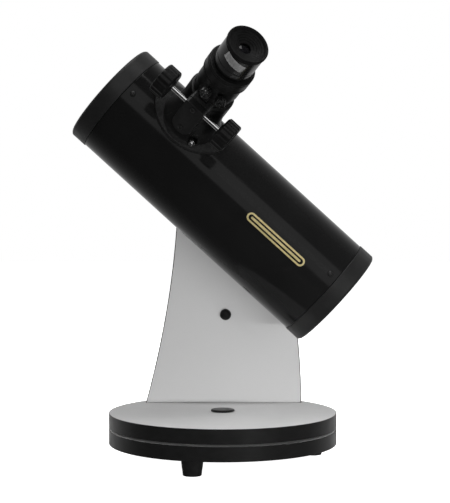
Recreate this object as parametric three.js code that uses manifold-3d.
// Tabletop Newtonian reflector telescope on a single-arm rocking mount.
//
// Units are millimetres and +Z is up. The origin lies on the ground, at the centre of the
// bounding box. +X is to the right when facing the focuser side, +Y points away from that
// side, towards the arm. The tube is shown at its resting altitude.
//
// Frames used below:
//   assembly  +Z up, its own origin on the ground under the azimuth pivot
//   tube      +Z along the optical axis to the sky, +X the tube's upper side, +Y to the arm
//   focuser   +Z outwards along the focuser, +X towards the mirror end, -Y to the pinion

import * as THREE from 'three';
import { mergeVertices } from 'three/addons/utils/BufferGeometryUtils.js';
import Module from 'manifold-3d';

const wasm = await Module();
wasm.setup();

const DEG = Math.PI / 180;

// ---------------------------------------------------------------- driving dimensions

const GAP = 0.3;                 // clearance left between pieces that touch

const BASE_RADIUS = 104;
const BOARD = 13;                // thickness of every board
const BOARD_SPACE = 1.8;         // space between the two round boards
const FOOT_HEIGHT = 15;
const FOOT_TOP_RADIUS = 9.6;
const FOOT_BOTTOM_RADIUS = 8.1;
const FOOT_CIRCLE = 86;          // radius at which the feet stand
const FOOT_ANGLE = -107.5;       // direction of the first foot, in degrees
const FOOT_RECESS = 7;           // height of the screw seat inside each foot
const PAD_CIRCLE = 80;
const PAD_RADIUS = 10;
const PILOT_RADIUS = 2.4;        // holes that the wood screws bite into
const SCREW_RADIUS = 2;
const PIVOT_BORE = 4.4;          // holes round the 8 mm bolts
const BOLT_RADIUS = 4;
const CAP_RADIUS = 10.8;
const CAP_SPIGOT = 7.6;

const ARM_FRONT = 55.4;          // distance from the tube axis to the arm's face
const ARM_LEFT = -73.8;          // left corner of the arm's foot
const ARM_RIGHT = 75.3;
const ARM_HEAD_RADIUS = 44;
const ARM_SCREWS = [-52, 52];    // places of the screws under the arm
const SCREW_CAP_X = 2.6;         // place of the covered screw on the arm
const SCREW_CAP_HEIGHT = 85;     // above the turntable

const PIVOT_HEIGHT = 197.7;      // altitude axis above the turntable
const REST_ALTITUDE = 42.3;      // degrees above the horizon

const TUBE_LENGTH = 280;
const TUBE_RADIUS = 50;
const TUBE_WALL = 1.2;
const RING_RADIUS = 50.65;
const RING_BAND = 16;            // visible length of each end ring
const RING_BORE = 46;
const RING_SPIGOT = 14;          // part of the ring inside the tube
const RING_SCREW_INSET = 23;     // from the tube's end
const RING_SCREW_ANGLE = -76;    // about the tube axis, from its upper side
const TUBE_SIDES = 64;           // facets of the tube and of what lies on it

const MIRROR_RADIUS = 38;
const MIRROR_THICKNESS = 8;
const FOCAL_LENGTH = 300;
const SECONDARY_RADIUS = 10.5;

const FOCUSER_ALONG = 65;        // from the tube's middle towards the sky
const FOCUSER_ANGLE = 52;        // from the tube's upper side towards the viewer
const DRAW_RADIUS = 17.5;
const DRAW_BORE = 16.1;
const DRAW_BOTTOM = 46;
const TOWER_TOP = 97;
const TONGUE_WIDTH = 20;
const PINION_HEIGHT = 92;        // pinion axis above the tube axis
const MODULE = 0.8;
const PINION_TEETH = 14;
const BACKLASH = 0.15;           // taken off each side of the teeth
const PRESSURE = 20 * DEG;
const SHAFT_RADIUS = 2;
const KNOB_RADIUS = 14.5;
const KNOB_INNER = 26.3;         // from the focuser axis to the knob
const KNOB_THICKNESS = 14;
const COLLAR_BOTTOM = 108;
const COLLAR_STEP = 123;         // where the collar widens
const COLLAR_TOP = 137;
const COLLAR_NECK = 19.4;
const COLLAR_RADIUS = 21;
const BARREL_RADIUS = 15.8;
const EYEPIECE_TOP = 167;
const EYECUP_RADIUS = 18.5;

// ---------------------------------------------------------------- worked-out dimensions

const GROUND_BOARD_TOP = FOOT_HEIGHT + BOARD;
const TURNTABLE_BOTTOM = GROUND_BOARD_TOP + BOARD_SPACE;
const TURNTABLE_TOP = TURNTABLE_BOTTOM + BOARD;
const PIVOT_Z = TURNTABLE_TOP + PIVOT_HEIGHT;
const ARM_BACK = ARM_FRONT + BOARD;
const TUBE_BORE = TUBE_RADIUS - TUBE_WALL;
const RING_START = TUBE_LENGTH / 2 - RING_BAND;
const PITCH_RADIUS = MODULE * PINION_TEETH / 2;
const RACK_PITCH_LINE = DRAW_RADIUS + 1.4;
const PINION_OFFSET = RACK_PITCH_LINE + PITCH_RADIUS;

// ---------------------------------------------------------------- materials

function finish(color, roughness, metalness) {
  return new THREE.MeshStandardMaterial({ color, roughness, metalness });
}

const greyLaminate = () => finish(0xb4b6b8, 0.6, 0);
const blackEdge = () => finish(0x1c1c1e, 0.5, 0);
const blackLacquer = () => finish(0x0b0b0c, 0.15, 0.1);
const blackPlastic = () => finish(0x151516, 0.45, 0);
const blackRubber = () => finish(0x171717, 0.85, 0);
const whiteNylon = () => finish(0xe4e2da, 0.5, 0);
const zincSteel = () => finish(0xb9bcc0, 0.35, 0.9);
const chrome = () => finish(0xdadde0, 0.12, 1);
const blackSteel = () => finish(0x202022, 0.4, 0.8);
const mirrorCoat = () => finish(0xe6eaee, 0.03, 1);
const lensGlass = () => finish(0x5a6a78, 0.05, 0);

// ---------------------------------------------------------------- geometry helpers

// Shared vertices merged and flat triangles dropped, ready for a boolean.
function weld(geometry) {
  const bare = geometry.clone();
  bare.deleteAttribute('normal');
  bare.deleteAttribute('uv');
  const merged = mergeVertices(bare, 1e-4);
  const index = merged.index.array;
  const kept = [];
  for (let i = 0; i < index.length; i += 3) {
    const [a, b, c] = [index[i], index[i + 1], index[i + 2]];
    if (a !== b && b !== c && c !== a) kept.push(a, b, c);
  }
  merged.setIndex(kept);
  return merged;
}

function toSolid(geometry) {
  const merged = weld(geometry);
  return new wasm.Manifold(new wasm.Mesh({
    numProp: 3,
    vertProperties: new Float32Array(merged.attributes.position.array),
    triVerts: new Uint32Array(merged.index.array),
  }));
}

function toGeometry(solid) {
  const mesh = solid.getMesh();
  const geometry = new THREE.BufferGeometry();
  geometry.setAttribute('position', new THREE.BufferAttribute(mesh.vertProperties, 3));
  geometry.setIndex(new THREE.BufferAttribute(mesh.triVerts, 1));
  return geometry;
}

function join(...geometries) {
  return toGeometry(geometries.map(toSolid).reduce((sum, next) => sum.add(next)));
}

function cut(geometry, ...tools) {
  return toGeometry(tools.map(toSolid).reduce((rest, tool) => rest.subtract(tool), toSolid(geometry)));
}

function common(geometry, other) {
  return toGeometry(toSolid(geometry).intersect(toSolid(other)));
}

// Solid of revolution about Z. The profile lists [radius, height] anticlockwise.
function turned(profile, segments = 24) {
  const points = profile.map(([radius, height]) => new THREE.Vector2(radius, height));
  return new THREE.LatheGeometry(points, segments).rotateX(Math.PI / 2);
}

function rod(radius, low, high, segments = 24) {
  return turned([[0, low], [radius, low], [radius, high], [0, high]], segments);
}

function ring(inner, outer, low, high, segments = 24) {
  return turned([[inner, low], [outer, low], [outer, high], [inner, high], [inner, low]], segments);
}

function alongX(geometry) {
  return geometry.rotateY(Math.PI / 2);
}

function alongY(geometry) {
  return geometry.rotateX(-Math.PI / 2);
}

function block(x0, x1, y0, y1, z0, z1) {
  return new THREE.BoxGeometry(x1 - x0, y1 - y0, z1 - z0)
    .translate((x0 + x1) / 2, (y0 + y1) / 2, (z0 + z1) / 2);
}

function extruded(shape, depth, curveSegments = 12) {
  return new THREE.ExtrudeGeometry(shape, { depth, bevelEnabled: false, curveSegments });
}

// Pan-head screw pointing down -Z, its head standing on z = 0.
function panScrew(headRadius, headHeight, shankRadius, length, segments = 16) {
  return turned([
    [0, -length], [shankRadius, -length], [shankRadius, 0], [headRadius, 0],
    [headRadius, headHeight * 0.55], [headRadius * 0.72, headHeight], [0, headHeight],
  ], segments);
}

function piece(name, geometry, material) {
  const mesh = new THREE.Mesh(geometry, material);
  mesh.name = name;
  return mesh;
}

function place(object, x, y, z) {
  object.position.set(x, y, z);
  return object;
}

function onCircle(radius, degrees) {
  return [radius * Math.cos(degrees * DEG), radius * Math.sin(degrees * DEG)];
}

// ---------------------------------------------------------------- base

const base = new THREE.Group();
const footPlaces = [0, 120, 240].map((turn) => onCircle(FOOT_CIRCLE, FOOT_ANGLE + turn));

function roundBoard(low, bore) {
  return ring(bore, BASE_RADIUS, low, low + BOARD, 60);
}

const PILOT_TOP = FOOT_HEIGHT + 10;
const pilotHoles = footPlaces.map(([x, y]) => (
  rod(PILOT_RADIUS, FOOT_HEIGHT - 1, PILOT_TOP, 10).translate(x, y, 0)
));
const groundBoard = cut(roundBoard(FOOT_HEIGHT, PIVOT_BORE + 0.2), ...pilotHoles);
base.add(piece('ground_board', groundBoard, blackEdge()));

const RECESS_RADIUS = 4.4;
function foot() {
  return turned([
    [PILOT_RADIUS, FOOT_RECESS], [RECESS_RADIUS, FOOT_RECESS], [RECESS_RADIUS, 0],
    [FOOT_BOTTOM_RADIUS - 0.6, 0], [FOOT_BOTTOM_RADIUS, 0.6],
    [FOOT_TOP_RADIUS, FOOT_HEIGHT - GAP], [PILOT_RADIUS, FOOT_HEIGHT - GAP],
    [PILOT_RADIUS, FOOT_RECESS],
  ], 16);
}

footPlaces.forEach(([x, y], i) => {
  base.add(place(piece(`foot_${i + 1}`, foot(), blackRubber()), x, y, 0));
  const screw = panScrew(3.7, 2.4, SCREW_RADIUS, 17).rotateX(Math.PI).translate(0, 0, FOOT_RECESS - GAP);
  base.add(place(piece(`foot_screw_${i + 1}`, screw, zincSteel()), x, y, 0));
  const [padX, padY] = onCircle(PAD_CIRCLE, FOOT_ANGLE + 120 * i);
  const pad = rod(PAD_RADIUS, GROUND_BOARD_TOP + GAP, TURNTABLE_BOTTOM - GAP, 16);
  base.add(place(piece(`bearing_pad_${i + 1}`, pad, whiteNylon()), padX, padY, 0));
});

const BOLT_SEAT = TURNTABLE_TOP - 7.5;   // floor of the recess under the pivot cap
const BOLT_HEAD_RADIUS = 6.5;
const azimuthBolt = turned([
  [0, FOOT_HEIGHT - 9], [BOLT_RADIUS, FOOT_HEIGHT - 9], [BOLT_RADIUS, BOLT_SEAT + GAP],
  [BOLT_HEAD_RADIUS, BOLT_SEAT + GAP], [BOLT_HEAD_RADIUS, BOLT_SEAT + 3.6],
  [BOLT_HEAD_RADIUS - 0.9, BOLT_SEAT + 4.4], [0, BOLT_SEAT + 4.4],
], 20);
base.add(piece('azimuth_bolt', azimuthBolt, zincSteel()));
const NUT_CORNERS = 7.4;
const NUT_HEIGHT = 6.5;
const nutTop = FOOT_HEIGHT - GAP;
const nutBlank = rod(NUT_CORNERS, nutTop - NUT_HEIGHT, nutTop, 6);
base.add(piece('azimuth_nut', cut(nutBlank, rod(PIVOT_BORE, 0, FOOT_HEIGHT, 20)), zincSteel()));

// ---------------------------------------------------------------- turntable and arm

const turntable = new THREE.Group();
const ARM_MIDDLE = (ARM_FRONT + ARM_BACK) / 2;
const BRACE_DEPTH = 28;
const BRACE_TOP_DEPTH = 12;
const BRACE_HEIGHT = 112;
const BRACE_Y = ARM_BACK + GAP;
const BRACE_SCREW_Y = BRACE_Y + 13;
const SCREW_SEAT = TURNTABLE_BOTTOM + 4.5;
const COUNTERBORE = 4.6;

const undersideScrews = [...ARM_SCREWS.map((x) => [x, ARM_MIDDLE]), [SCREW_CAP_X, BRACE_SCREW_Y]];
const screwWays = undersideScrews.flatMap(([x, y]) => [
  rod(COUNTERBORE, TURNTABLE_BOTTOM - 1, SCREW_SEAT, 12).translate(x, y, 0),
  rod(PILOT_RADIUS, SCREW_SEAT - 1, TURNTABLE_TOP + 1, 10).translate(x, y, 0),
]);
const capRecess = rod(CAP_SPIGOT + 0.4, BOLT_SEAT, TURNTABLE_TOP + 1, 24);
turntable.add(piece(
  'turntable_board',
  cut(roundBoard(TURNTABLE_BOTTOM, PIVOT_BORE), capRecess, ...screwWays),
  greyLaminate(),
));

const pivotCap = turned([
  [0, BOLT_SEAT + 5], [CAP_SPIGOT, BOLT_SEAT + 5], [CAP_SPIGOT, TURNTABLE_TOP + GAP],
  [CAP_RADIUS, TURNTABLE_TOP + GAP], [CAP_RADIUS, TURNTABLE_TOP + 1.6],
  [CAP_RADIUS - 0.8, TURNTABLE_TOP + 2.4], [0, TURNTABLE_TOP + 2.4],
], 28);
turntable.add(piece('pivot_cap', pivotCap, blackPlastic()));

// Arm outline in the XZ plane: hollow left edge, bulging right edge, round head on the pivot.
function armShape() {
  const lean = 15.5 * DEG;       // where the right edge meets the head
  const headX = 1;
  const hollowHeight = 103;      // height that the left edge's curve aims at
  const hollowDepth = 28;
  const tangentX = headX + ARM_HEAD_RADIUS * Math.cos(lean);
  const tangentZ = PIVOT_HEIGHT + ARM_HEAD_RADIUS * Math.sin(lean);
  const shape = new THREE.Shape();
  shape.moveTo(ARM_RIGHT, GAP);
  shape.quadraticCurveTo(ARM_RIGHT, tangentZ - (ARM_RIGHT - tangentX) / Math.tan(lean), tangentX, tangentZ);
  shape.absarc(headX, PIVOT_HEIGHT, ARM_HEAD_RADIUS, lean, Math.PI, false);
  shape.quadraticCurveTo(ARM_LEFT + hollowDepth, hollowHeight, ARM_LEFT, GAP);
  return shape;
}

// Extrusion standing in the XZ plane, from y0 to y0 + depth.
function upright(shape, y0, depth, curveSegments = 12) {
  return extruded(shape, depth, curveSegments).rotateX(Math.PI / 2).translate(0, y0 + depth, 0);
}

const armBlank = upright(armShape(), ARM_FRONT, BOARD, 12).translate(0, 0, TURNTABLE_TOP);
const ARM_SCREW_LENGTH = 38;
const armScrewTop = SCREW_SEAT + ARM_SCREW_LENGTH;
const armPilots = ARM_SCREWS.map((x) => (
  rod(PILOT_RADIUS, TURNTABLE_TOP - 1, armScrewTop + 1, 10).translate(x, ARM_MIDDLE, 0)
));
const pivotHole = alongY(rod(PIVOT_BORE, ARM_FRONT - 1, ARM_BACK + 1, 20)).translate(0, 0, PIVOT_Z);
const capZ = TURNTABLE_TOP + SCREW_CAP_HEIGHT;
const coverHole = alongY(rod(PILOT_RADIUS, ARM_FRONT - 1, ARM_BACK + 1, 12))
  .translate(SCREW_CAP_X, 0, capZ);
turntable.add(piece('side_arm', cut(armBlank, pivotHole, coverHole, ...armPilots), greyLaminate()));

const WOOD_HEAD = 4.2;           // head radius of the screws into the boards
ARM_SCREWS.forEach((x, i) => {
  const screw = panScrew(WOOD_HEAD, 2.6, SCREW_RADIUS, ARM_SCREW_LENGTH).rotateX(Math.PI);
  turntable.add(place(piece(`arm_screw_${i + 1}`, screw, zincSteel()), x, ARM_MIDDLE, SCREW_SEAT - GAP));
});

// Upright brace behind the arm, narrowing towards its top.
function braceShape() {
  const shape = new THREE.Shape();
  shape.moveTo(0, 0);
  shape.lineTo(BRACE_DEPTH, 0);
  shape.lineTo(BRACE_DEPTH, 20);
  shape.quadraticCurveTo(BRACE_DEPTH - 2, 85, BRACE_TOP_DEPTH, BRACE_HEIGHT);
  shape.lineTo(0, BRACE_HEIGHT);
  return shape;
}
const braceBlank = extruded(braceShape(), BOARD, 8)
  .rotateX(Math.PI / 2).rotateZ(Math.PI / 2)
  .translate(SCREW_CAP_X - BOARD / 2, BRACE_Y, TURNTABLE_TOP + GAP);
const BRACE_SCREW_LENGTH = 30;
const bracePilotUp = rod(PILOT_RADIUS, TURNTABLE_TOP - 1, SCREW_SEAT + BRACE_SCREW_LENGTH + 1, 10)
  .translate(SCREW_CAP_X, BRACE_SCREW_Y, 0);
const bracePilotIn = alongY(rod(PILOT_RADIUS, ARM_BACK - 1, ARM_BACK + 11, 12))
  .translate(SCREW_CAP_X, 0, capZ);
turntable.add(piece('rear_brace', cut(braceBlank, bracePilotUp, bracePilotIn), greyLaminate()));

const braceFloorScrew = panScrew(WOOD_HEAD, 2.6, SCREW_RADIUS, BRACE_SCREW_LENGTH).rotateX(Math.PI);
turntable.add(place(
  piece('brace_screw_lower', braceFloorScrew, zincSteel()),
  SCREW_CAP_X, BRACE_SCREW_Y, SCREW_SEAT - GAP,
));
const braceFaceScrew = panScrew(3.6, 1.6, SCREW_RADIUS, 22).rotateX(Math.PI / 2);
turntable.add(place(
  piece('brace_screw_upper', braceFaceScrew, zincSteel()),
  SCREW_CAP_X, ARM_FRONT - GAP, capZ,
));

// Thin domed cover over the screw head: a shell open towards the arm.
const screwCap = turned([
  [4.2, 0], [5.4, 0], [5.3, 1.6], [4.3, 3.1], [2.4, 4], [0, 4.3], [0, 2.6], [4.2, 2.2], [4.2, 0],
], 20).rotateX(Math.PI / 2);
turntable.add(place(
  piece('arm_screw_cap', screwCap, blackPlastic()),
  SCREW_CAP_X, ARM_FRONT - GAP, capZ,
));

// ---------------------------------------------------------------- altitude pivot
// These stand on the altitude axis and turn with the tube.

const tube = new THREE.Group();
const pivotParts = new THREE.Group();
const SADDLE_FACE = ARM_FRONT - 2;       // flat face of the saddle under the tube
const WASHER_OUT = SADDLE_FACE + GAP;
const KNOB_BACK = ARM_BACK + GAP;

// Saddle: flat towards the arm, hollow towards the tube.
const SADDLE_HALF_WIDTH = 19;
const SADDLE_HALF_LENGTH = 34;
const saddleBlank = block(
  -SADDLE_HALF_WIDTH, SADDLE_HALF_WIDTH, 44, SADDLE_FACE, -SADDLE_HALF_LENGTH, SADDLE_HALF_LENGTH,
);
const saddleHollow = rod(TUBE_RADIUS + GAP, -SADDLE_HALF_LENGTH - 6, SADDLE_HALF_LENGTH + 6, TUBE_SIDES);
const saddleBore = alongY(rod(PIVOT_BORE, 40, 60, 20));
tube.add(piece('tube_saddle', cut(saddleBlank, saddleHollow, saddleBore), blackPlastic()));

const WASHER_RADIUS = 21;
const frictionWasher = alongY(ring(PIVOT_BORE, WASHER_RADIUS, WASHER_OUT, ARM_FRONT - GAP, 32));
pivotParts.add(piece('altitude_friction_washer', frictionWasher, whiteNylon()));

// The bolt's flat head lies inside the tube; its thread ends inside the knob.
const BOLT_HEAD = TUBE_BORE - 4.2;
const BOLT_END = KNOB_BACK + 13;
const altitudeBolt = alongY(turned([
  [0, BOLT_HEAD], [9, BOLT_HEAD], [10, BOLT_HEAD + 0.8], [10, BOLT_HEAD + 2.4],
  [BOLT_RADIUS, BOLT_HEAD + 2.4], [BOLT_RADIUS, BOLT_END], [0, BOLT_END],
], 16));
pivotParts.add(piece('altitude_bolt', altitudeBolt, zincSteel()));

// Lobed outline with a sine rim, used for the tension knob and the focus knobs.
function lobedShape(radius, depth, lobes, steps) {
  const shape = new THREE.Shape();
  for (let i = 0; i < lobes * steps; i += 1) {
    const turn = (2 * Math.PI * i) / (lobes * steps);
    const reach = radius - depth / 2 + (depth / 2) * Math.cos(lobes * turn);
    const [x, y] = [reach * Math.cos(turn), reach * Math.sin(turn)];
    if (i === 0) shape.moveTo(x, y);
    else shape.lineTo(x, y);
  }
  return shape;
}

function lobedKnob(radius, depth, lobes, steps, thickness, chamfer) {
  return new THREE.ExtrudeGeometry(lobedShape(radius - chamfer, depth, lobes, steps), {
    depth: thickness - 2 * chamfer,
    bevelThickness: chamfer,
    bevelSize: chamfer,
    bevelSegments: 1,
  }).translate(0, 0, chamfer);
}

const TENSION_RADIUS = 21;
const TENSION_HUB = 12;
const tensionBlank = alongY(join(
  lobedKnob(TENSION_RADIUS, 4, 6, 5, 14, 1.2).translate(0, 0, KNOB_BACK + 4),
  rod(TENSION_HUB, KNOB_BACK, KNOB_BACK + 5, 24),
));
const tensionBore = alongY(rod(PIVOT_BORE, KNOB_BACK - 1, BOLT_END + 1, 20));
pivotParts.add(piece('altitude_knob', cut(tensionBlank, tensionBore), blackPlastic()));

// ---------------------------------------------------------------- optical tube

const SHELL_END = RING_START - GAP;
const screwAngles = [0, 120, 240].map((turn) => RING_SCREW_ANGLE + turn);
const RING_SCREW_Z = TUBE_LENGTH / 2 - RING_SCREW_INSET;

// A radial cylinder at the given angle and height on the tube.
function radial(radius, inner, outer, degrees, z, segments = 8) {
  return rod(radius, inner, outer, segments)
    .rotateY(Math.PI / 2).rotateZ(degrees * DEG).translate(0, 0, z);
}

const PORT_RADIUS = 20;          // hole under the focuser
const RING_PILOT = 1.9;
const focuserPort = radial(PORT_RADIUS, 30, 60, -FOCUSER_ANGLE, FOCUSER_ALONG, 24);
const shellHoles = [
  focuserPort,
  alongY(rod(PIVOT_BORE, 30, 60, 20)),
  ...screwAngles.flatMap((angle) => [
    radial(RING_PILOT, 40, 60, angle, RING_SCREW_Z),
    radial(RING_PILOT, 40, 60, angle, -RING_SCREW_Z),
  ]),
];
const FOCUSER_SCREWS = [[14.5, -20], [-14.5, 20]];   // along the tube, and around it
const SCREW_REACH = TUBE_RADIUS + 3;                 // radius at which they are set out
const FOCUSER_PILOT = 2.3;
const PLATE_THICKNESS = 3.4;

function focuserScrewAngle(around) {
  return -FOCUSER_ANGLE + (around / SCREW_REACH) / DEG;
}

FOCUSER_SCREWS.forEach(([along, around]) => {
  shellHoles.push(radial(FOCUSER_PILOT, 40, 60, focuserScrewAngle(around), FOCUSER_ALONG - along));
});
const shell = ring(TUBE_BORE, TUBE_RADIUS, -SHELL_END, SHELL_END, TUBE_SIDES);
tube.add(piece('tube_shell', cut(shell, ...shellHoles), blackLacquer()));

// End ring: a band as wide as the tube and a spigot that plugs into it.
function endRing() {
  const end = TUBE_LENGTH / 2;
  const spigotEnd = RING_START - RING_SPIGOT;
  return turned([
    [RING_BORE, spigotEnd], [TUBE_BORE - GAP, spigotEnd], [TUBE_BORE - GAP, RING_START],
    [RING_RADIUS, RING_START], [RING_RADIUS, end - 1.6], [RING_RADIUS - 1.6, end],
    [RING_BORE, end], [RING_BORE, spigotEnd],
  ], 44);
}

function ringPilots(sign) {
  return screwAngles.map((angle) => radial(RING_PILOT, RING_BORE - 2, 60, angle, sign * RING_SCREW_Z));
}

// Three thin vanes and a hub, moulded in one with the front ring.
const HUB_RADIUS = 9;
const VANE_HALF = 0.8;
const VANE_LOW = RING_START - RING_SPIGOT;
const VANE_HIGH = RING_START - 2;
const vanes = [60, 180, 300].map((turn) => (
  block(HUB_RADIUS - 1, RING_BORE + 1, -VANE_HALF, VANE_HALF, VANE_LOW, VANE_HIGH)
    .rotateZ((RING_SCREW_ANGLE + turn) * DEG)
));
const hub = rod(HUB_RADIUS, VANE_LOW, VANE_HIGH, 24);
const hubBore = rod(2.4, VANE_LOW - 1, VANE_HIGH + 1, 12);
const frontRing = cut(join(endRing(), hub, ...vanes), hubBore, ...ringPilots(1));
tube.add(piece('front_ring', frontRing, blackPlastic()));

// The rear ring carries an inner ledge for the mirror cell.
const LEDGE_BORE = RING_BORE - 4;
const ledge = ring(LEDGE_BORE, RING_BORE + 1, RING_START - 2, RING_START + 1, 44);
const rearRing = cut(join(endRing(), ledge).rotateX(Math.PI), ...ringPilots(-1));
tube.add(piece('rear_ring', rearRing, blackPlastic()));

screwAngles.forEach((angle, i) => {
  [['front', 1], ['rear', -1]].forEach(([end, sign]) => {
    const screw = panScrew(2.5, 1.3, 1.5, 4.2, 14)
      .rotateY(Math.PI / 2).translate(TUBE_RADIUS + GAP, 0, 0)
      .rotateZ(angle * DEG).translate(0, 0, sign * RING_SCREW_Z);
    tube.add(piece(`${end}_ring_screw_${i + 1}`, screw, blackSteel()));
  });
});

// ---------------------------------------------------------------- mirrors

const CELL_TOP = -(RING_START + 1) - GAP;      // cell plate sits on the ledge from outside
const CELL_BOTTOM = CELL_TOP - 4;
const MIRROR_BACK = -RING_START + 4;
const MIRROR_FACE = MIRROR_BACK + MIRROR_THICKNESS;
const CLIP_CIRCLE = MIRROR_RADIUS + 0.5;
const CLIP_OUT = CLIP_CIRCLE + 2.4;
const CLIP_HALF = 3.5;           // half of a clip's width
const clipAngles = [0, 120, 240].map((turn) => RING_SCREW_ANGLE + 60 + turn);
const COLLIMATION_CIRCLE = 24;

// Plate with a raised seat behind the mirror; the seat passes through the ring's ledge.
const SEAT_BORE = 30;
const seatTop = MIRROR_BACK - GAP;
const cellBlank = join(
  rod(RING_BORE - GAP, CELL_BOTTOM, CELL_TOP, 40),
  ring(SEAT_BORE, LEDGE_BORE - GAP - 0.2, CELL_TOP - 1, seatTop, 40),
);
const collimationWays = clipAngles.map((angle) => {
  const [x, y] = onCircle(COLLIMATION_CIRCLE, angle + 60);
  return rod(2.4, CELL_BOTTOM - 1, CELL_TOP + 1, 12).translate(x, y, 0);
});
tube.add(piece('mirror_cell', cut(cellBlank, ...collimationWays), blackPlastic()));

// Concave face: a shallow curve whose depth follows from the focal length.
function mirrorProfile() {
  const sag = (radius) => (radius * radius) / (4 * FOCAL_LENGTH);
  const lip = sag(MIRROR_RADIUS);
  const face = [1, 0.6, 0].map((share) => {
    const radius = MIRROR_RADIUS * share;
    return [radius, MIRROR_FACE - lip + sag(radius)];
  });
  return [[0, MIRROR_BACK], [MIRROR_RADIUS, MIRROR_BACK], ...face];
}
tube.add(piece('primary_mirror', turned(mirrorProfile(), 40), mirrorCoat()));

const GRIP_RADIUS = 6.5;         // head of a collimation screw
clipAngles.forEach((angle, i) => {
  const clip = join(
    block(CLIP_CIRCLE, CLIP_OUT, -CLIP_HALF, CLIP_HALF, MIRROR_BACK, MIRROR_FACE + 2),
    block(CLIP_CIRCLE - 3, CLIP_OUT, -CLIP_HALF, CLIP_HALF, MIRROR_FACE + GAP, MIRROR_FACE + 2),
  ).rotateZ(angle * DEG);
  tube.add(piece(`mirror_clip_${i + 1}`, clip, blackPlastic()));
  const [x, y] = onCircle(COLLIMATION_CIRCLE, angle + 60);
  const screw = turned([
    [0, CELL_BOTTOM - 8], [GRIP_RADIUS - 0.5, CELL_BOTTOM - 8], [GRIP_RADIUS, CELL_BOTTOM - 7.4],
    [GRIP_RADIUS, CELL_BOTTOM - 2.2], [SCREW_RADIUS, CELL_BOTTOM - 2.2],
    [SCREW_RADIUS, MIRROR_BACK - 1], [0, MIRROR_BACK - 1],
  ], 18);
  tube.add(place(piece(`collimation_screw_${i + 1}`, screw, zincSteel()), x, y, 0));
});

// Secondary: an elliptical flat at 45 degrees that faces the focuser.
const HOLDER_TOP = VANE_LOW - GAP;
const FLAT_THICKNESS = 2.2;

// Slab whose faces slope at 45 degrees, its reflecting side on the tube axis.
function slopingSlab(low, high) {
  return block(-60, 60, -40, 40, low, high).rotateY(-Math.PI / 4).translate(0, 0, FOCUSER_ALONG);
}

const holderBlank = rod(SECONDARY_RADIUS - 0.5, FOCUSER_ALONG - 12, HOLDER_TOP, 28);
const holder = cut(
  holderBlank,
  slopingSlab(-80, FLAT_THICKNESS + GAP),
  rod(PILOT_RADIUS, HOLDER_TOP - 14, HOLDER_TOP + 1, 12),
).rotateZ(-FOCUSER_ANGLE * DEG);
tube.add(piece('secondary_holder', holder, blackPlastic()));

const flatBlank = rod(SECONDARY_RADIUS, FOCUSER_ALONG - 20, FOCUSER_ALONG + 20, 32);
const flat = common(flatBlank, slopingSlab(0, FLAT_THICKNESS)).rotateZ(-FOCUSER_ANGLE * DEG);
tube.add(piece('secondary_mirror', flat, mirrorCoat()));

const centreBolt = panScrew(4.6, 3, 1.9, 26, 16).translate(0, 0, VANE_HIGH + GAP);
tube.add(piece('secondary_bolt', centreBolt, zincSteel()));

// ---------------------------------------------------------------- focuser

const focuser = new THREE.Group();
const tubeCore = alongX(rod(TUBE_RADIUS + GAP, -80, 80, TUBE_SIDES));
const saddleSkin = alongX(rod(TUBE_RADIUS + PLATE_THICKNESS, -60, 60, TUBE_SIDES));
const PLATE_HALF_LENGTH = 38.5;
const PLATE_HALF_WIDTH = 27.6;

// Oval outline of the plate that lies on the tube.
function plateShape() {
  const shape = new THREE.Shape();
  shape.absellipse(0, 0, PLATE_HALF_LENGTH, PLATE_HALF_WIDTH, 0, 2 * Math.PI, false, 0);
  return shape;
}
const plate = common(extruded(plateShape(), 24, 28).translate(0, 0, 35), saddleSkin);

// Tower: a flared foot that narrows to a straight collar around the drawtube.
const TOWER_FOOT = 27;
const TOWER_RADIUS = 20.8;
const tower = turned([
  [0, 40], [TOWER_FOOT, 40], [TOWER_FOOT, 54], [23.4, 62], [TOWER_RADIUS, 74],
  [TOWER_RADIUS, TOWER_TOP], [0, TOWER_TOP],
], 28);

// Tongue: round-ended outline of the pinion housing, shared by the body and its cover.
const TONGUE_HALF = TONGUE_WIDTH / 2;
const TONGUE_LOW = 73;
const TONGUE_TOP = 101;
function tongueShape(half) {
  const shape = new THREE.Shape();
  shape.moveTo(half, TONGUE_LOW);
  shape.lineTo(half, TONGUE_TOP - 3);
  shape.quadraticCurveTo(half, TONGUE_TOP, half - 3, TONGUE_TOP);
  shape.lineTo(-half + 3, TONGUE_TOP);
  shape.quadraticCurveTo(-half, TONGUE_TOP, -half, TONGUE_TOP - 3);
  shape.lineTo(-half, TONGUE_LOW);
  shape.absarc(0, TONGUE_LOW, half, Math.PI, 2 * Math.PI, false);
  return shape;
}

const COVER_PLANE = -PINION_OFFSET;
const COVER_THICKNESS = 7.5;
const COVER_FRONT = COVER_PLANE - COVER_THICKNESS;
const housing = upright(tongueShape(TONGUE_HALF), COVER_PLANE + GAP / 2, PINION_OFFSET - 8, 10);
const GEAR_HALF = 6;             // half of the pinion's width
const gearTip = PITCH_RADIUS + 0.7;
const gearPocket = alongX(rod(gearTip + 0.5, -GEAR_HALF - 1, GEAR_HALF + 1, 28))
  .translate(0, COVER_PLANE, PINION_HEIGHT);
const shaftWay = alongX(rod(SHAFT_RADIUS + GAP, -20, 20, 16)).translate(0, COVER_PLANE, PINION_HEIGHT);
const RACK_HALF = 3.5;
const RACK_FRONT = -(RACK_PITCH_LINE + 0.6);
const rackSlot = block(-RACK_HALF - 0.5, RACK_HALF + 0.5, RACK_FRONT - 0.4, -10, 36, TONGUE_TOP + 1);
const COVER_PILOT = 1.3;
const coverPilots = [TONGUE_LOW - 3, TONGUE_TOP - 4].map((z) => (
  alongY(rod(COVER_PILOT, COVER_FRONT - 1, COVER_PLANE + 4, 10)).translate(0, 0, z)
));
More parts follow.
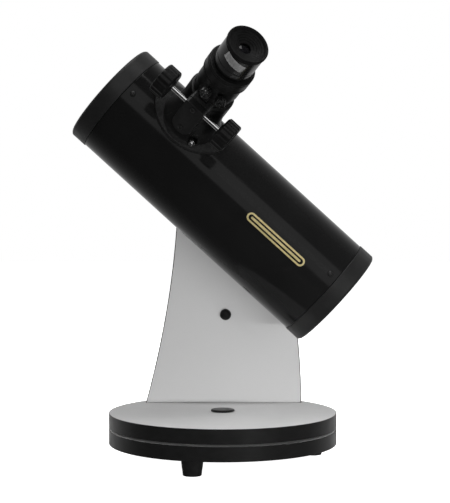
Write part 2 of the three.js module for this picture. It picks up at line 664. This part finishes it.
const PLATE_FACE = TUBE_RADIUS + PLATE_THICKNESS;
const SINK_RADIUS = 4.3;         // recess cut in the flared foot over each screw
const focuserScrewWays = FOCUSER_SCREWS.map(([along, around]) => (
  turned([
    [0, 40], [FOCUSER_PILOT, 40], [FOCUSER_PILOT, PLATE_FACE],
    [SINK_RADIUS, PLATE_FACE], [SINK_RADIUS, 90], [0, 90],
  ], 18)
    .rotateX(-(around / SCREW_REACH)).translate(along, 0, 0)
));
const focuserBody = cut(
  join(plate, tower, housing),
  tubeCore,
  rod(DRAW_RADIUS + GAP, 30, TONGUE_TOP + 1, 32),
  rackSlot, gearPocket, shaftWay, ...coverPilots, ...focuserScrewWays,
);
focuser.add(piece('focuser_body', focuserBody, blackPlastic()));

const coverBlank = upright(tongueShape(TONGUE_HALF), COVER_FRONT, COVER_THICKNESS - GAP / 2, 10);
focuser.add(piece('pinion_cover', cut(coverBlank, gearPocket, shaftWay, ...coverPilots), blackPlastic()));

FOCUSER_SCREWS.forEach(([along, around], i) => {
  const screw = panScrew(3.6, 2.8, 1.9, 7, 18)
    .translate(0, 0, PLATE_FACE + GAP)
    .rotateX(-(around / SCREW_REACH)).translate(along, 0, 0);
  focuser.add(piece(`focuser_screw_${i + 1}`, screw, chrome()));
});

// Pinion: involute teeth, each flank drawn through five radii.
function pinionShape() {
  const baseRadius = PITCH_RADIUS * Math.cos(PRESSURE);
  const involute = (angle) => Math.tan(angle) - angle;
  const halfPitchAngle = (Math.PI / 2 - BACKLASH / MODULE) / PINION_TEETH;
  const halfAngle = (radius) => {
    const pressure = Math.acos(Math.min(1, baseRadius / radius));
    return halfPitchAngle + involute(PRESSURE) - involute(pressure);
  };
  const radii = [PITCH_RADIUS - 0.8, baseRadius, PITCH_RADIUS, PITCH_RADIUS + 0.4, gearTip];
  const shape = new THREE.Shape();
  for (let tooth = 0; tooth < PINION_TEETH; tooth += 1) {
    const middle = Math.PI / 2 + (2 * Math.PI * (tooth + 0.5)) / PINION_TEETH;
    const flank = radii.map((r) => [r, halfAngle(Math.max(r, baseRadius))]);
    const rising = flank.map(([r, a]) => [r, middle - a]);
    const falling = flank.slice().reverse().map(([r, a]) => [r, middle + a]);
    [...rising, ...falling].forEach(([r, a], i) => {
      const point = [r * Math.cos(a), r * Math.sin(a)];
      if (tooth === 0 && i === 0) shape.moveTo(...point);
      else shape.lineTo(...point);
    });
  }
  return shape;
}

// In the shape +Y faces the rack; after alongX the shape's Y is still the focuser's Y.
const SHAFT_END = KNOB_INNER + KNOB_THICKNESS - 3;
const pinion = join(
  alongX(extruded(pinionShape(), 2 * GEAR_HALF).translate(0, 0, -GEAR_HALF)),
  alongX(rod(SHAFT_RADIUS, -SHAFT_END, SHAFT_END, 16)),
).translate(0, COVER_PLANE, PINION_HEIGHT);
focuser.add(piece('pinion_shaft', pinion, chrome()));

[['left', -1], ['right', 1]].forEach(([side, sign]) => {
  const grip = lobedKnob(KNOB_RADIUS, 1.4, 18, 2, KNOB_THICKNESS, 1);
  const bore = rod(SHAFT_RADIUS + GAP, -1, SHAFT_END - KNOB_INNER + GAP, 16);
  const knob = alongX(cut(grip, bore)).translate(KNOB_INNER, 0, 0);
  if (sign < 0) knob.rotateZ(Math.PI);
  focuser.add(place(piece(`focus_knob_${side}`, knob, blackPlastic()), 0, COVER_PLANE, PINION_HEIGHT));
});

// ---------------------------------------------------------------- drawtube and eyepiece

const COLLAR_SEAT = COLLAR_BOTTOM + 6;
const drawBlank = ring(DRAW_BORE, DRAW_RADIUS, DRAW_BOTTOM, COLLAR_SEAT - GAP, 32);
const rackRoot = -(RACK_PITCH_LINE - 0.8);
const RACK_LOW = PINION_HEIGHT - 18;
const RACK_HIGH = COLLAR_BOTTOM - GAP;
const rackStrip = block(-RACK_HALF, RACK_HALF, rackRoot, -(DRAW_RADIUS - 1), DRAW_BOTTOM + 2, RACK_HIGH);

// Straight rack teeth at the pinion's pitch, one of them level with the pinion at rest.
function rackTooth(z) {
  const half = (Math.PI * MODULE) / 4 - BACKLASH / 2;
  const lean = Math.tan(PRESSURE);
  const shape = new THREE.Shape();
  shape.moveTo(-half - 0.8 * lean, 0.8);
  shape.lineTo(-half + 0.6 * lean, -0.6);
  shape.lineTo(half - 0.6 * lean, -0.6);
  shape.lineTo(half + 0.8 * lean, 0.8);
  return extruded(shape, 2 * RACK_HALF)
    .rotateY(-Math.PI / 2).translate(RACK_HALF, -RACK_PITCH_LINE, z);
}
const rackTeeth = [];
const toothPitch = Math.PI * MODULE;
for (let i = Math.ceil((RACK_LOW - PINION_HEIGHT) / toothPitch); ; i += 1) {
  const z = PINION_HEIGHT + i * toothPitch;
  if (z > RACK_HIGH - 1.4) break;
  rackTeeth.push(rackTooth(z));
}
const drawtube = join(drawBlank, rackStrip, ...rackTeeth);
focuser.add(piece('drawtube', drawtube, blackPlastic()));

const THUMB_HEIGHT = 117;
const THUMB_ANGLES = [-92, -60];
const THUMB_REACH = 22.6;        // from the focuser axis to the knurled head
const thumbWays = THUMB_ANGLES.map((angle) => radial(1.9, 10, 30, angle, THUMB_HEIGHT));
const collar = cut(turned([
  [DRAW_RADIUS + GAP, COLLAR_BOTTOM], [COLLAR_NECK, COLLAR_BOTTOM],
  [COLLAR_NECK, COLLAR_STEP], [COLLAR_RADIUS, COLLAR_STEP + 1.2],
  [COLLAR_RADIUS, COLLAR_TOP - 1], [COLLAR_RADIUS - 1, COLLAR_TOP],
  [DRAW_BORE, COLLAR_TOP], [DRAW_BORE, COLLAR_SEAT],
  [DRAW_RADIUS + GAP, COLLAR_SEAT], [DRAW_RADIUS + GAP, COLLAR_BOTTOM],
], 32), ...thumbWays);
focuser.add(piece('eyepiece_collar', collar, blackPlastic()));

THUMB_ANGLES.forEach((angle, i) => {
  const grip = lobedKnob(4.6, 0.6, 10, 2, 6, 0.6).translate(0, 0, THUMB_REACH);
  const stem = rod(1.5, BARREL_RADIUS + GAP, THUMB_REACH + 0.4, 12);
  const neck = rod(2.8, COLLAR_NECK + 0.5, THUMB_REACH + 0.2, 16);
  const screw = join(grip, stem, neck).rotateY(Math.PI / 2).rotateZ(angle * DEG);
  focuser.add(place(piece(`thumbscrew_${i + 1}`, screw, chrome()), 0, 0, THUMB_HEIGHT));
});

const BARREL_LOW = 108;
const BODY_LOW = COLLAR_TOP + 1;
const BODY_RADIUS = 17.8;
const BODY_TOP = 159.2;
const RIM_TOP = 163.2;
const RIM_BORE = 16.6;
const LENS_RADIUS = 8.6;
const LENS_SEAT = BODY_TOP - 2.2;
const FIELD_STOP = 7;
const INNER_RADIUS = 13;
const barrel = ring(14.4, BARREL_RADIUS, BARREL_LOW, BODY_LOW + 3, 32);
focuser.add(piece('eyepiece_barrel', barrel, chrome()));

// The barrel plugs into the body's foot; the lens drops into a seat inside its rim.
const body = turned([
  [BARREL_RADIUS + GAP, BODY_LOW], [BODY_RADIUS - 0.9, BODY_LOW],
  [BODY_RADIUS - 0.9, BODY_LOW + 2.4], [BODY_RADIUS, BODY_LOW + 3],
  [BODY_RADIUS, RIM_TOP - 0.6], [BODY_RADIUS - 0.6, RIM_TOP],
  [RIM_BORE, RIM_TOP], [RIM_BORE, BODY_TOP], [LENS_RADIUS + GAP, BODY_TOP],
  [LENS_RADIUS + GAP, LENS_SEAT], [FIELD_STOP, LENS_SEAT],
  [FIELD_STOP, 149], [INNER_RADIUS, 148], [INNER_RADIUS, BODY_LOW + 3 + GAP],
  [BARREL_RADIUS + GAP, BODY_LOW + 3 + GAP], [BARREL_RADIUS + GAP, BODY_LOW],
], 28);
focuser.add(piece('eyepiece_body', body, blackLacquer()));

const eyeLens = turned([
  [0, LENS_SEAT + GAP], [LENS_RADIUS, LENS_SEAT + GAP], [LENS_RADIUS, BODY_TOP - 0.8],
  [LENS_RADIUS / 2, BODY_TOP - 0.2], [0, BODY_TOP],
], 20);
focuser.add(piece('eye_lens', eyeLens, lensGlass()));

// Flared cup that plugs into the body's rim, with a funnel down to a small eye opening.
const CUP_LOW = BODY_TOP + GAP;
const EYE_OPENING = 5;
const eyecup = turned([
  [EYE_OPENING, CUP_LOW], [RIM_BORE - GAP, CUP_LOW], [RIM_BORE - GAP, RIM_TOP + GAP],
  [BODY_RADIUS - 0.6, RIM_TOP + GAP], [EYECUP_RADIUS, RIM_TOP + 1.2],
  [EYECUP_RADIUS, EYEPIECE_TOP - 0.8], [EYECUP_RADIUS - 0.9, EYEPIECE_TOP],
  [EYECUP_RADIUS - 2.2, EYEPIECE_TOP - 0.6], [INNER_RADIUS, EYEPIECE_TOP - 3],
  [EYE_OPENING + 3, CUP_LOW + 2], [EYE_OPENING, CUP_LOW + 1.2], [EYE_OPENING, CUP_LOW],
], 32);
focuser.add(piece('eyecup', eyecup, blackRubber()));

// ---------------------------------------------------------------- assembly

const focuserFrame = new THREE.Group();
focuserFrame.rotation.y = Math.PI / 2;
focuserFrame.add(focuser);
const focuserSocket = place(new THREE.Group(), 0, 0, FOCUSER_ALONG);
focuserSocket.rotation.z = -FOCUSER_ANGLE * DEG;
focuserSocket.add(focuserFrame);
tube.add(focuserSocket);
tube.add(pivotParts);
place(tube, 0, 0, PIVOT_Z);
tube.rotation.y = -(90 - REST_ALTITUDE) * DEG;

const telescope = new THREE.Group();
telescope.add(base, turntable, tube);
telescope.updateMatrixWorld(true);
const bounds = new THREE.Box3().setFromObject(telescope, true);
telescope.position.y = -(bounds.min.y + bounds.max.y) / 2;
telescope.position.x = -(bounds.min.x + bounds.max.x) / 2;
telescope.updateMatrixWorld(true);

export default telescope;
